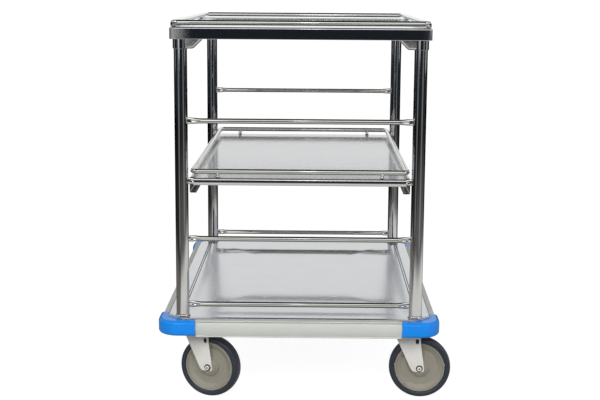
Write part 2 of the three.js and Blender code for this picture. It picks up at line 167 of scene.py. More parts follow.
def deck_steel():
    """Sheet ground along Y, which blurs what it mirrors sideways, with painted shade darkening its two side
    grooves.
    """
    light, dark, groove_shade = (0.69, 0.705, 0.72), (0.66, 0.675, 0.69), (0.2, 0.2, 0.21)
    material = steel("deck_steel", light, dark, 0.11, 0.14, (1, 0.03, 1), 1600, 0.004 * MM)
    tree = material.node_tree
    shader = tree.nodes["Principled BSDF"]
    across = arithmetic(tree, "ABSOLUTE", components(tree)["X"], 0)
    half_width = 1.1 * MM
    lines = [arithmetic(tree, "COMPARE", across, place * MM) for place in GROOVES]
    for line in lines:
        line.node.inputs[2].default_value = half_width
    # painted shade: a near-black line along each side groove stands in for the shadow inside the groove
    clean = shader.inputs["Base Color"].links[0].from_socket
    toned = blend_colours(tree, arithmetic(tree, "ADD", *lines), clean, groove_shade)
    tree.links.new(toned, shader.inputs["Base Color"])
    tangent = tree.nodes.new("ShaderNodeTangent")
    tangent.direction_type = "RADIAL"
    tangent.axis = "Y"
    shader.inputs["Anisotropic"].default_value = 1
    tree.links.new(tangent.outputs[0], shader.inputs["Tangent"])
    return material


def tray_steel():
    """Polished steel whose corners are ground dull after welding, the left ones more."""
    light, dark = (0.66, 0.67, 0.68), (0.6, 0.61, 0.62)
    material, tree, shader = new_material("tray_steel", light, 0.06, 1)
    across = components(tree)["X"]
    leftward = arithmetic(tree, "MULTIPLY", across, -1)
    rightward = arithmetic(tree, "MULTIPLY", across, 0.9)
    dulled = remap(tree, arithmetic(tree, "MAXIMUM", leftward, rightward), 0.06, 0.36, 0.25, 0.3)
    tree.links.new(dulled, shader.inputs["Roughness"])
    waves = noise(tree, 40)
    tree.links.new(blend_colours(tree, remap(tree, waves, 0, 1), light, dark), shader.inputs["Base Color"])
    bump(tree, shader, waves, 0.1, 0.005 * MM)
    return material


def plastic(name, light, dark, roughness, speckle_scale, bump_strength, coat=0):
    material, tree, shader = new_material(name, light, roughness, 0)
    patches = noise(tree, 18)
    tree.links.new(blend_colours(tree, remap(tree, patches, 0, 1), light, dark), shader.inputs["Base Color"])
    speckle = noise(tree, speckle_scale)
    tree.links.new(remap(tree, speckle, roughness * 0.85, roughness * 1.15), shader.inputs["Roughness"])
    shader.inputs["Specular IOR Level"].default_value = 0.3
    shader.inputs["Coat Weight"].default_value = coat
    shader.inputs["Coat Roughness"].default_value = 0.12
    bump(tree, shader, speckle, bump_strength, 0.05 * MM)
    return material


# After the two colours come the least and greatest roughness, then the grain's stretch, scale and depth.
POLISHED = steel(
    "polished_steel", (0.67, 0.68, 0.69), (0.62, 0.62, 0.62), 0.05, 0.09, (1, 1, 0.05), 300, 0.002 * MM
)
RAIL = steel(
    "rail_steel", (0.75, 0.745, 0.71), (0.7, 0.695, 0.66), 0.04, 0.07, (0.02, 0.02, 1), 200, 0.0002 * MM
)
TRAY = tray_steel()
SHELF = steel(
    "shelf_steel", (0.66, 0.67, 0.67), (0.63, 0.64, 0.64), 0.1, 0.15, (0.3, 0.05, 1), 1400, 0.004 * MM
)
DECK = deck_steel()
STAMPED = steel("stamped_steel", (0.66, 0.65, 0.61), (0.58, 0.57, 0.54), 0.32, 0.46, (1, 1, 1), 60)
ZINC = steel(
    "zinc_plate", (0.95, 0.925, 0.87), (0.8, 0.78, 0.73), 0.3, 0.42, (1, 1, 1), 60, 0.02 * MM, metallic=0
)
# painted shade: near-black steel for the axle washers and bolt tip, standing in for the shadow in the recess
# round each axle bolt
RECESS_SHADE = steel("recess_shade_steel", (0.07, 0.07, 0.075), (0.04, 0.04, 0.045), 0.35, 0.5, (1, 1, 1), 300)
BRACKET = steel("bracket_steel", (0.66, 0.67, 0.68), (0.6, 0.6, 0.6), 0.26, 0.34, (1, 1, 0.3), 500)
BOLT = steel("bolt_steel", (0.5, 0.5, 0.49), (0.42, 0.42, 0.42), 0.25, 0.4, (1, 1, 1), 300)
BUMPER = plastic("bumper_vinyl", (0.7, 0.72, 0.67), (0.66, 0.685, 0.635), 0.5, 900, 0.1)
BLUE = plastic("blue_plastic", (0.002, 0.3, 1), (0.002, 0.28, 0.95), 0.24, 500, 0.05, 0.15)
CORE = plastic("wheel_plastic", (0.36, 0.338, 0.278), (0.32, 0.3, 0.246), 0.4, 300, 0.2)
TYRE = plastic("tyre_rubber", (0.036, 0.044, 0.062), (0.028, 0.035, 0.05), 0.34, 700, 0.15, 0.3)


# ---- mesh helpers ----


def add_piece(name, verts, faces, body, nodes, slot, material, sharp=32):
    """A smooth-shaded closed mesh that rides a body and stands for CAD nodes."""
    mesh = bpy.data.meshes.new(name)
    mesh.from_pydata([tuple(v) for v in verts], [], faces)
    edit = bmesh.new()
    edit.from_mesh(mesh)
    bmesh.ops.remove_doubles(edit, verts=edit.verts, dist=1e-6)
    bmesh.ops.dissolve_degenerate(edit, edges=edit.edges, dist=1e-7)
    bmesh.ops.recalc_face_normals(edit, faces=edit.faces)
    edit.to_mesh(mesh)
    edit.free()
    mesh.polygons.foreach_set("use_smooth", [True] * len(mesh.polygons))
    mesh.set_sharp_from_angle(angle=math.radians(sharp))
    mesh.materials.append(material)
    piece = bpy.data.objects.new(name, mesh)
    bpy.context.collection.objects.link(piece)
    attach(piece, body)
    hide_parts(*nodes)
    return piece


def flatten_shading(piece):
    """Large faces keep their own normals, so that the rounding beside them doesn't shade them."""
    modifier = piece.modifiers.new("flat_faces", "WEIGHTED_NORMAL")
    modifier.keep_sharp = True
    modifier.weight = 90


def bevel(piece, width, segments=2, angle=40):
    modifier = piece.modifiers.new("edges", "BEVEL")
    modifier.width = width
    modifier.segments = segments
    modifier.limit_method = "ANGLE"
    modifier.angle_limit = math.radians(angle)
    modifier.harden_normals = True


def skin(rings, closed=False):
    """Quads between equal rings of points. Open rows are filled at both ends."""
    count = len(rings[0])
    faces = []
    for i in range(len(rings) if closed else len(rings) - 1):
        here = i * count
        there = (i + 1) % len(rings) * count
        for k in range(count):
            after = (k + 1) % count
            faces.append((here + k, here + after, there + after, there + k))
    if not closed:
        faces.append(tuple(reversed(range(count))))
        faces.append(tuple(range((len(rings) - 1) * count, len(rings) * count)))
    return [point for ring in rings for point in ring], faces


def rounded(points, radius, closed=True, steps=6):
    """The outline with its corners as arcs. A point's third number, where given, is its own radius."""
    result = []
    count = len(points)
    for i, point in enumerate(points):
        corner = Vector(point[:2])
        bend = point[2] if len(point) > 2 else radius
        if bend == 0 or (not closed and i in (0, count - 1)):
            result.append(corner)
            continue
        back = (Vector(points[i - 1][:2]) - corner).normalized()
        ahead = (Vector(points[(i + 1) % count][:2]) - corner).normalized()
        half = back.angle(ahead) / 2
        centre = corner + (back + ahead).normalized() * (bend / math.sin(half))
        start = corner + back * (bend / math.tan(half)) - centre
        end = corner + ahead * (bend / math.tan(half)) - centre
        sweep = start.angle(end)
        for step in range(steps + 1):
            part = step / steps
            first = start * math.sin((1 - part) * sweep)
            second = end * math.sin(part * sweep)
            result.append(centre + (first + second) / math.sin(sweep))
    return result


def millimetres(points):
    return [tuple(value * MM for value in point) for point in points]


def rectangle(half_x, half_y, radius, steps=6):
    corners = [(half_x, half_y), (-half_x, half_y), (-half_x, -half_y), (half_x, -half_y)]
    return rounded(corners, radius, True, steps)


def revolve(profile, place, steps=64):
    """A closed profile of (radius, height) turned about +Z of the matrix place."""
    rings = []
    for step in range(steps):
        angle = 2 * math.pi * step / steps
        direction = Vector((math.cos(angle), math.sin(angle), 0))
        rings.append([place @ (direction * r + Vector((0, 0, h))) for r, h in profile])
    return skin(rings, True)


def extrude(outline, start, end, place):
    """An outline in the matrix place's XY plane, from z = start to z = end."""
    return skin([[place @ Vector((x, y, z)) for x, y in outline] for z in (start, end)])


def plate(outline, holes, thickness, edge, place):
    """A flat plate with rounded edges and holes, its middle plane on the matrix place's XY plane."""
    curve = bpy.data.curves.new("plate_outline", "CURVE")
    curve.dimensions = "2D"
    curve.fill_mode = "BOTH"
    curve.extrude = thickness / 2 - edge
    curve.bevel_depth = edge
    curve.bevel_resolution = 2
    curve.offset = -edge
    for points in [outline, *holes]:
        spline = curve.splines.new("POLY")
        spline.points.add(len(points) - 1)
        for slot, (x, y) in zip(spline.points, points):
            slot.co = (x, y, 0, 1)
        spline.use_cyclic_u = True
    holder = bpy.data.objects.new("plate_outline", curve)
    mesh = bpy.data.meshes.new_from_object(holder)
    verts = [place @ v.co for v in mesh.vertices]
    faces = [tuple(polygon.vertices) for polygon in mesh.polygons]
    bpy.data.objects.remove(holder)
    bpy.data.curves.remove(curve)
    bpy.data.meshes.remove(mesh)
    return verts, faces


def circle(x, y, radius, steps=32):
    return [
        (x + radius * math.cos(2 * math.pi * k / steps), y + radius * math.sin(2 * math.pi * k / steps))
        for k in range(steps)
    ]


def axes(origin, x_axis, y_axis):
    """A frame at origin whose X and Y run along two directions at right angles."""
    x_axis = Vector(x_axis).normalized()
    y_axis = Vector(y_axis).normalized()
    columns = Matrix((x_axis, y_axis, x_axis.cross(y_axis))).transposed()
    return Matrix.Translation(origin) @ columns.to_4x4()


def middle(node):
    low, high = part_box(node)
    return (Vector(low) + Vector(high)) / 2


# ---- posts, rungs and gallery rails ----


def make_post(corner):
    """An open tube that flares at its foot, where it is welded to the deck."""
    node = f"post_{corner}"
    low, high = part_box(node)
    centre = middle(node)
    bore = POST_RADIUS - SHEET
    foot = [(2.6, 0), (2.5, 1.2), (1.5, 2.2), (0.6, 3.4), (0.15, 5), (0, 7)]
    profile = [(bore, high[2]), (bore, low[2])]
    profile += [(POST_RADIUS + out * MM, low[2] + up * MM) for out, up in foot]
    profile += [(POST_RADIUS, high[2])]
    place = Matrix.Translation((centre.x, centre.y, 0))
    add_piece(node + "_tube", *revolve(profile, place, 72), "cart", [node], "polished_steel", POLISHED)


def rung_ring(x, y, z, flat, dimple):
    """One section of a rung: round where flat is 0, tall and thin where it is 1, and hollowed by dimple."""
    sides = 36
    pressed_height, pressed_depth = 8 * MM, 2.5 * MM
    half_height = ROD + (pressed_height - ROD) * flat
    half_depth = ROD + (pressed_depth - ROD) * flat
    ring = []
    for k in range(sides):
        angle = 2 * math.pi * k / sides
        hollow = 1 - dimple * math.exp(-((math.sin(angle) / 0.3) ** 2))
        ring.append((x, y + half_depth * math.cos(angle) * hollow, z + half_height * math.sin(angle)))
    return ring


def make_rung(node):
    """A rod with its ends pressed flat. Each station has its inset in mm, how flat and how hollow it is."""
    low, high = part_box(node)
    centre = middle(node)
    half = (high[0] - low[0]) / 2
    press = [(0, 1, 0), (4, 1, 0.05), (8, 0.95, 0.35), (12, 0.8, 0.55), (17, 0.5, 0.5), (22, 0.25, 0.35),
             (27, 0.08, 0.15), (32, 0, 0)]
    ends = [(half - inset * MM, flat, dimple) for inset, flat, dimple in press]
    stations = [(-x, flat, dimple) for x, flat, dimple in ends] + ends[::-1]
    rings = [rung_ring(centre.x + x, centre.y, centre.z, flat, dimple) for x, flat, dimple in stations]
    add_piece(node + "_rod", *skin(rings), "cart", [node], "polished_steel", RAIL, 50)


def make_rail(node, body, bend):
    """A closed loop of rod whose corners bend to a radius."""
    low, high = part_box(node)
    half_x = (high[0] - low[0]) / 2 - ROD
    half_y = (high[1] - low[1]) / 2 - ROD
    height = high[2] - ROD
    path = rectangle(half_x, half_y, bend, 10)
    sides = 32
    angles = [2 * math.pi * k / sides for k in range(sides)]
    up = Vector((0, 0, 1))
    rings = []
    for i, point in enumerate(path):
        along = (path[(i + 1) % len(path)] - path[i - 1]).normalized()
        outward = Vector((along.y, -along.x, 0))
        centre = Vector((point.x, point.y, height))
        rings.append([centre + ROD * (math.cos(a) * outward + math.sin(a) * up) for a in angles])
    add_piece(node + "_loop", *skin(rings, True), body, [node], "polished_steel", RAIL)


def make_standoff(name, node, body, x, y, radius):
    """A short pin with a weld at its foot and another where it meets the rail above."""
    rail_low, rail_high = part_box(node)
    low, high = rail_low[2], rail_high[2]
    weld = 2.6 * MM
    under_rail = high - 2 * ROD
    profile = [(0, low), (radius + weld, low), (radius + weld * 0.4, low + weld * 0.6)]
    profile += [(radius, low + weld * 1.6), (radius, under_rail - weld), (radius + weld * 0.5, under_rail)]
    profile += [(radius + weld * 0.5, high - ROD), (0, high - ROD)]
    verts, faces = revolve(profile, Matrix.Translation((x, y, 0)), 40)
    add_piece(name, verts, faces, body, [node], "polished_steel", POLISHED)


def make_galleries():
    make_rail("top_gallery_rail", "cart", 16 * MM)
    make_rail("shelf_gallery_rail", "shelf", 14 * MM)
    top_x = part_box("top_gallery_rail")[1][0] - ROD
    top_pins = {"front": -434 * MM, "rear": 281 * MM}
    shelf_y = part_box("shelf_gallery_rail")[1][1] - ROD
    shelf_x = 197 * MM
    for side, sign in (("left", -1), ("right", 1)):
        for end, along in top_pins.items():
            name = f"top_gallery_pin_{end}_{side}"
            make_standoff(name, "top_gallery_rail", "cart", sign * top_x, along, 5.5 * MM)
    for side, sign in (("left", -1), ("right", 1)):
        for end, along in (("front", -shelf_y), ("rear", shelf_y)):
            name = f"shelf_gallery_pin_{end}_{side}"
            make_standoff(name, "shelf_gallery_rail", "shelf", sign * shelf_x, along, 4 * MM)


# ---- top tray and its brackets ----


def make_top_tray():
    """An upturned pan with a deep apron, a rounded upper edge and a thin hem."""
    low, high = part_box("top_tray")
    half_x, half_y = high[0], high[1]
    corner = 9 * MM
    edge = 4 * MM
    hem = 1.2 * MM
    profile = [(SHEET + edge, high[2] - SHEET), (SHEET, high[2] - SHEET - edge / 2), (SHEET, low[2] + hem)]
    profile += [(SHEET * 0.7, low[2]), (hem * 0.5, low[2]), (0, low[2] + hem)]
    steps = 6
    for step in range(steps + 1):
        angle = math.pi / 2 * step / steps
        profile.append((edge * (1 - math.cos(angle)), high[2] - edge * (1 - math.sin(angle))))
    profile.append((edge * 3, high[2]))
    rings = []
    for inset, z in profile:
        outline = rectangle(half_x - inset, half_y - inset, max(corner - inset, MM))
        rings.append([(p.x, p.y, z) for p in outline])
    tray = add_piece("top_tray_sheet", *skin(rings), "cart", ["top_tray"], "polished_steel", TRAY)
    flatten_shading(tray)


def make_bracket(corner):
    """A collar round the post under the tray, and a slanted wing each way."""
    node = f"bracket_{corner}"
    low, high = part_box(node)
    post = middle(f"post_{corner}")
    side_x, side_y = CORNERS[corner]
    bottom, top = low[2], high[2]
    inner = POST_RADIUS + GAP
    outer = inner + 2 * MM
    round_edge = 0.8 * MM
    collar = [(inner, top), (inner, bottom + round_edge), (inner + round_edge, bottom)]
    collar += [(outer - round_edge, bottom), (outer, bottom + round_edge), (outer, top)]
    place = Matrix.Translation((post.x, post.y, 0))
    add_piece(node + "_collar", *revolve(collar, place), "cart", [node], "polished_steel", POLISHED)
    reach = (high[0] - low[0]) - outer - 0.1 * MM
    flat_reach = 31 * MM
    height = top - bottom
    start = 6 * MM
    thickness = 27.8 * MM
    outline = [(start, 0, 0), (flat_reach, 0, 9 * MM), (reach, reach - flat_reach, 8 * MM)]
    outline += [(reach, height, 0), (start, height, 0)]
    for axis, inward in (("x", (-side_x, 0, 0)), ("y", (0, -side_y, 0))):
        frame_at = axes((post.x, post.y, bottom), inward, (0, 0, 1))
        verts, faces = plate(rounded(outline, 0), [], thickness, 6 * MM, frame_at)
        add_piece(f"{node}_wing_{axis}", verts, faces, "cart", [node], "polished_steel", BRACKET)


# ---- middle shelf ----


def folded_sheet(name, path, start, end, place, thickness, nodes):
    """A sheet bent along a path in the matrix place's XY plane and running from z = start to z = end."""
    rings = [[place @ Vector((x, y, z)) for x, y in path] for z in (start, end)]
    count = len(path)
    faces = [(k, k + 1, count + k + 1, count + k) for k in range(count - 1)]
    piece = add_piece(name, rings[0] + rings[1], faces, "shelf", nodes, "polished_steel", SHELF)
    solidify = piece.modifiers.new("thickness", "SOLIDIFY")
    solidify.thickness = thickness
    solidify.offset = 0
    solidify.use_even_offset = True
    flatten_shading(piece)


def make_shelf():
    """A sheet folded down over the rungs at both ends, and a channel along each side."""
    low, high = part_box("shelf_tray")
    half = SHEET / 2
    top = high[2] - half
    seam = 254 * MM
    end = high[1] - half
    apron_bottom = high[2] - 17.2 * MM
    # how far the apron leans in at its top, over a slight swell near its bottom
    lean = 0.9 * MM
    swell = apron_bottom + 8 * MM
    path = [(-end + lean / 2, apron_bottom, 0), (-end, swell, 20 * MM), (-end + lean, top, 5 * MM)]
    path += [(end - lean, top, 5 * MM), (end, swell, 20 * MM), (end - lean / 2, apron_bottom, 0)]
    place = axes((0, 0, 0), (0, 1, 0), (0, 0, 1))
    folded_sheet("shelf_sheet", rounded(path, 0, False), -seam, seam, place, SHEET, ["shelf_tray"])
    edge = high[0] - half
    foot = low[2] + half
    reach = 437 * MM
    flange = 15 * MM
    bend = 3 * MM
    for side in (-1, 1):
        path = [(seam, top, 0), (edge, top, bend), (edge, foot, bend), (edge - flange, foot, 0)]
        place = axes((0, 0, 0), (side, 0, 0), (0, 0, 1))
        name = "shelf_channel_left" if side < 0 else "shelf_channel_right"
        folded_sheet(name, rounded(path, 0, False), -reach, reach, place, SHEET, ["shelf_tray"])


# ---- deck ----


def ease(value):
    """0 below 0, 1 above 1 and smooth between."""
    value = min(1, max(0, value))
    return value * value * (3 - 2 * value)


def deck_height(x, y):
    """How far the surface stands off its rim: two side grooves, a soft valley inside them and a cross break.

    The break's rear diagonals are slightly creased. Depths and widths are in mm.
    """
    across, along = abs(x) / MM, abs(y) / MM
    grooves = sum(math.exp(-(((across - place) / 0.9) ** 2)) for place in GROOVES)
    grooves *= ease((444 - along) / 8)
    valley = ease((284 - across) / 26) * ease((464 - along) / 80)
    rise = max(0, 1 - max(across / BREAK_X, along / BREAK_Y))
    crease = math.exp(-(((across / BREAK_X - along / BREAK_Y) / 0.035) ** 2))
    crease *= ease(rise * 8) * ease((0.7 - rise) * 3) * ease(y / MM / 90)
    return (-2.2 * grooves - 1.5 * valley + 2.4 * rise + 0.25 * crease) * MM


def grid_lines(half, step, extra):
    """Even stations from -half to half, with the extra ones in place of those near them."""
    count = math.ceil(2 * half / step)
    lines = [-half + 2 * half * k / count for k in range(count + 1)]
    near = [value for value in extra if abs(value) < half]
    kept = [value for value in lines if all(abs(value - other) > MM for other in near) or abs(value) >= half]
    return sorted(kept + near)


def make_deck():
    """The pan: a fine grid cut at its corners, with a rounded rim and a skirt, and two weld dots."""
    low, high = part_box("deck_pan")
    edge = 3 * MM
    half_x, half_y = high[0] - edge, high[1] - edge
    chamfer = DECK_CHAMFER - edge * (2 - math.sqrt(2))
    # close stations across the grooves
    dense = [side * (283.5 + 0.5 * k) * MM for side in (-1, 1) for k in range(22)]
    xs = grid_lines(half_x, 8 * MM, dense)
    ys = grid_lines(half_y, 12 * MM, [])
    verts = [(x, y, high[2] + deck_height(x, y)) for y in ys for x in xs]
    width = len(xs)
    firsts = [j * width + i for j in range(len(ys) - 1) for i in range(width - 1)]
    faces = [(first, first + 1, first + width + 1, first + width) for first in firsts]
    deck = add_piece("deck_sheet", verts, faces, "cart", ["deck_pan"], "brushed_steel", DECK, 60)
    edit = bmesh.new()
    edit.from_mesh(deck.data)
    for side_x, side_y in CORNERS.values():
        point = (side_x * (half_x - chamfer), side_y * half_y, 0)
        everything = edit.verts[:] + edit.edges[:] + edit.faces[:]
        normal = (side_x, side_y, 0)
        bmesh.ops.bisect_plane(edit, geom=everything, plane_co=point, plane_no=normal, clear_outer=True)
    rim = [e for e in edit.edges if e.is_boundary]
    steps = 5
    angles = [math.pi / 2 * (k + 1) / steps for k in range(steps)]
    drops = [(edge * math.sin(a), edge * (1 - math.cos(a))) for a in angles]
    drops.append((edge, high[2] - low[2]))
    reached = 0
    for out, down in drops:
        grown = bmesh.ops.extrude_edge_only(edit, edges=rim)["geom"]
        new_verts = [item for item in grown if isinstance(item, bmesh.types.BMVert)]
        for vert in new_verts:
            vert.co += rim_direction(vert.co, half_x, half_y, chamfer) * (out - reached)
            vert.co.z = high[2] - down
        grown_edges = [item for item in grown if isinstance(item, bmesh.types.BMEdge)]
        rim = [item for item in grown_edges if all(v in new_verts for v in item.verts)]
        reached = out
    edit.to_mesh(deck.data)
    edit.free()
    deck.data.polygons.foreach_set("use_smooth", [True] * len(deck.data.polygons))
    solidify = deck.modifiers.new("thickness", "SOLIDIFY")
    solidify.thickness = 2 * MM
    solidify.offset = -1
    weld = millimetres([(0, -0.4), (6.5, -0.3), (6.3, 0.1), (4.2, 0.35), (2, 0.5), (0, 0.55)])
    for name, x in (("deck_weld_left", -88 * MM), ("deck_weld_right", 88 * MM)):
        place = Matrix.Translation((x, -252 * MM, high[2]))
        add_piece(name, *revolve(weld, place, 24), "cart", ["deck_pan"], "brushed_steel", RAIL)


def rim_direction(point, half_x, half_y, chamfer):
    """The outward direction at a point of the deck's chamfered rim, mitred at its corners."""
    tolerance = 0.4 * MM
    side_x, side_y = math.copysign(1, point.x), math.copysign(1, point.y)
    on_side = abs(point.x) >= half_x - tolerance
    on_end = abs(point.y) >= half_y - tolerance
    slack = half_x + half_y - chamfer - abs(point.x) - abs(point.y)
    on_chamfer = slack < tolerance
    mitre = math.tan(math.pi / 8)
    if on_side and on_chamfer:
        return Vector((side_x, side_y * mitre, 0))
    if on_end and on_chamfer:
        return Vector((side_x * mitre, side_y, 0))
    if on_side:
        return Vector((side_x, 0, 0))
    if on_end:
        return Vector((0, side_y, 0))
    return Vector((side_x, side_y, 0)).normalized()


def make_bumpers():
    """Crowned grey extrusions with a thin lip along the bottom and, past a groove, along the top."""
    _, deck_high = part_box("deck_pan")
    sides = {"front": (0, -1), "rear": (0, 1), "left": (-1, 0), "right": (1, 0)}
    for side, (out_x, out_y) in sides.items():
        node = f"bumper_{side}"
        low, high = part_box(node)
        outward = Vector((out_x, out_y, 0))
        skirt = deck_high[0] if out_x else deck_high[1]
        length = high[1] - low[1] if out_x else high[0] - low[0]
        height = (high[2] - low[2]) / MM
        outline = [(0.3, 0, 0), (13.6, 0, 0.6), (14.4, 1, 0.8), (13.8, 2.8, 0.5), (11.6, 3.6, 0.4)]
        crown_low, crown_high = 4.4, height - 4.4
        crown_steps = 12
        for step in range(crown_steps + 1):
            across = 2 * step / crown_steps - 1
            z = crown_low + (crown_high - crown_low) * (across + 1) / 2
            outline.append((16 - 2.6 * across * across, z, 0))
        outline += [(9, height - 4, 0.2), (9, height - 3, 0.2), (13.6, height - 2.6, 0.5)]
        outline += [(12.6, height, 0.7), (0.3, height, 0)]
        outline = rounded(millimetres(outline), 0, True, 3)
        origin = outward * skirt + Vector((0, 0, low[2]))
        place = axes(origin, outward, (0, 0, 1))
        verts, faces = extrude(outline, -length / 2, length / 2, place)
        strip = add_piece(node + "_strip", verts, faces, "cart", [node], "bumper_plastic", BUMPER)
        flatten_shading(strip)


def corner_section(inner, outer, bottom, top, edge):
    """One section of a corner bumper: square against the deck and rounded over outside."""
    section = [(inner, bottom, 0), (outer, bottom, edge), (outer, top, edge), (inner, top, 0)]
    return rounded(section, 0, True, 8)


def make_corner_bumper(corner):
    """A blue block that wraps the deck's cut corner, with a leg along each side."""
    node = f"bumper_corner_{corner}"
    low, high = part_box(node)
    _, deck_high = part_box("deck_pan")
    side_x, side_y = CORNERS[corner]
    depth = 21.5 * MM
    plan_radius = 50 * MM
    edge = 8 * MM
    leg = 71.5 * MM
    hub = depth - plan_radius
    origin = Vector((side_x * deck_high[0], side_y * deck_high[1], 0))
    stations = []
    for along in (-leg, -DECK_CHAMFER):
        stations.append((Vector((0, along)), Vector((1, 0)), GAP, depth))
    steps = 20
    for step in range(steps + 1):
        angle = math.pi / 2 * step / steps
        direction = Vector((math.cos(angle), math.sin(angle)))
        inner = (-DECK_CHAMFER + GAP - 2 * hub) / (direction.x + direction.y)
        stations.append((Vector((hub, hub)), direction, inner, plan_radius))
    for along in (-DECK_CHAMFER, -leg):
        stations.append((Vector((along, 0)), Vector((0, 1)), GAP, depth))
    rings = []
    for base, direction, inner, outer in stations:
        ring = []
        for reach, z in corner_section(inner, outer, low[2], high[2], edge):
            point = base + direction * reach
            ring.append(origin + Vector((side_x * point.x, side_y * point.y, z)))
        rings.append(ring)
    block = add_piece(node + "_cap", *skin(rings), "cart", [node], "blue_plastic", BLUE, 40)
    bevel(block, 0.8 * MM, 2, 60)


# ---- casters ----


def caster_frame(corner):
    """The frame at the king pin on the floor, X along the trail and Y along the axle."""
    swivel = Vector(JOINTS[f"swivel_{corner}"]["pos_m"])
    wheel = Vector(JOINTS[f"roll_{corner}"]["pos_m"])
    trail = Vector((wheel.x - swivel.x, wheel.y - swivel.y, 0))
    axle = Vector((0, 0, 1)).cross(trail)
    return axes((swivel.x, swivel.y, 0), trail, axle), trail.length


def hexagon(radius):
    return circle(0, 0, radius, 6)


def make_caster_plate(corner):
    """A top plate with the cup of the raceway under it and a bolt head near each corner."""
    node = f"caster_{corner}_plate"
    low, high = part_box(node)
    centre = middle(node)
    thickness = 4 * MM
    half_x, half_y = (high[0] - low[0]) / 2, (high[1] - low[1]) / 2
    place = Matrix.Translation((centre.x, centre.y, high[2] - thickness / 2))
    hole = circle(0, 0, PIN_HOLE)
    verts, faces = plate(rectangle(half_x, half_y, 8 * MM), [hole], thickness, 0.8 * MM, place)
    add_piece(node + "_sheet", verts, faces, "cart", [node], "stamped_steel", STAMPED)
    race = millimetres([(24.4, 10), (31, 10), (31, 1.5), (29.5, 0), (25, 0), (24.4, 1)])
    verts, faces = revolve(race, Matrix.Translation((centre.x, centre.y, low[2])))
    add_piece(node + "_race", verts, faces, "cart", [node], "stamped_steel", STAMPED)
    bolt_inset = 9 * MM
    bolt_bottom = high[2] - thickness - 4.5 * MM
    for index, (side_x, side_y) in enumerate(CORNERS.values()):
        x = centre.x + side_x * (half_x - bolt_inset)
        y = centre.y + side_y * (half_y - bolt_inset)
        prism = extrude(hexagon(6.5 * MM), 0, 4.4 * MM, Matrix.Translation((x, y, bolt_bottom)))
        name = f"{node}_bolt_{index + 1}"
        head = add_piece(name, *prism, "cart", [node], "stamped_steel", BOLT)
        bevel(head, 0.7 * MM, 2)


def make_king_pin(corner):
    """The pin that the fork swivels on, with a nut under the crown."""
    node = f"caster_{corner}_king_pin"
    low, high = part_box(node)
    place, _ = caster_frame(corner)
    radius = 6 * MM
    foot = low[2] + 0.5 * MM
    pin = [(0, foot), (radius, foot), (radius, high[2]), (0, high[2])]
    add_piece(node + "_shank", *revolve(pin, place, 40), "cart", [node], "stamped_steel", BOLT)
    nut = extrude(hexagon(10 * MM), low[2], low[2] + 5 * MM, place)
    head = add_piece(node + "_nut", *nut, "cart", [node], "stamped_steel", BOLT)
    bevel(head, 0.8 * MM, 2)


def make_fork(corner):
    """A pressed fork: a crown under the race and two legs that narrow towards the axle."""
    node = f"caster_{corner}_fork"
    body = f"caster_{corner}"
    place, trail = caster_frame(corner)
    outline = [(-20, 161.2, 1), (20, 75.5, 14), (26, 67.2, 8), (54, 66.6, 5), (53.2, 78, 20), (45, 137, 30),
               (44, 161.2, 1)]
    outline = rounded(millimetres(outline), 0, True, 8)
    slot = millimetres([(31.7, 138.6), (39.7, 138.6), (39.7, 150.6), (31.7, 150.6)])
    slot = rounded(slot, 2.6 * MM, True, 8)
    axle = circle(trail, WHEEL_RADIUS, 6.4 * MM)
    wall = 3 * MM
    apart = 18.6 * MM + wall / 2
    for name, offset in (("near", -apart), ("far", apart)):
        upright = place @ axes((0, offset, 0), (1, 0, 0), (0, 0, 1))
        verts, faces = plate(outline, [slot, axle], wall, 0.9 * MM, upright)
        add_piece(f"{node}_leg_{name}", verts, faces, body, [node], "stamped_steel", ZINC, 25)
    crown = rounded(millimetres([(-20, -20), (44, -20), (44, 20), (-20, 20)]), 3 * MM)
    hole = circle(0, 0, PIN_HOLE)
    flat = place @ Matrix.Translation((0, 0, 159.8 * MM))
    verts, faces = plate(crown, [hole], 3.3 * MM, 0.8 * MM, flat)
    add_piece(node + "_crown", verts, faces, body, [node], "stamped_steel", ZINC)
    boss = millimetres([(6.8, 158.2), (28, 158.2), (29, 159.2), (29, 161), (28, 162), (24.2, 162.6),
                        (23.3, 164), (23.3, 174.5), (21.8, 176), (6.8, 176)])
    add_piece(node + "_boss", *revolve(boss, place), body, [node], "stamped_steel", STAMPED)


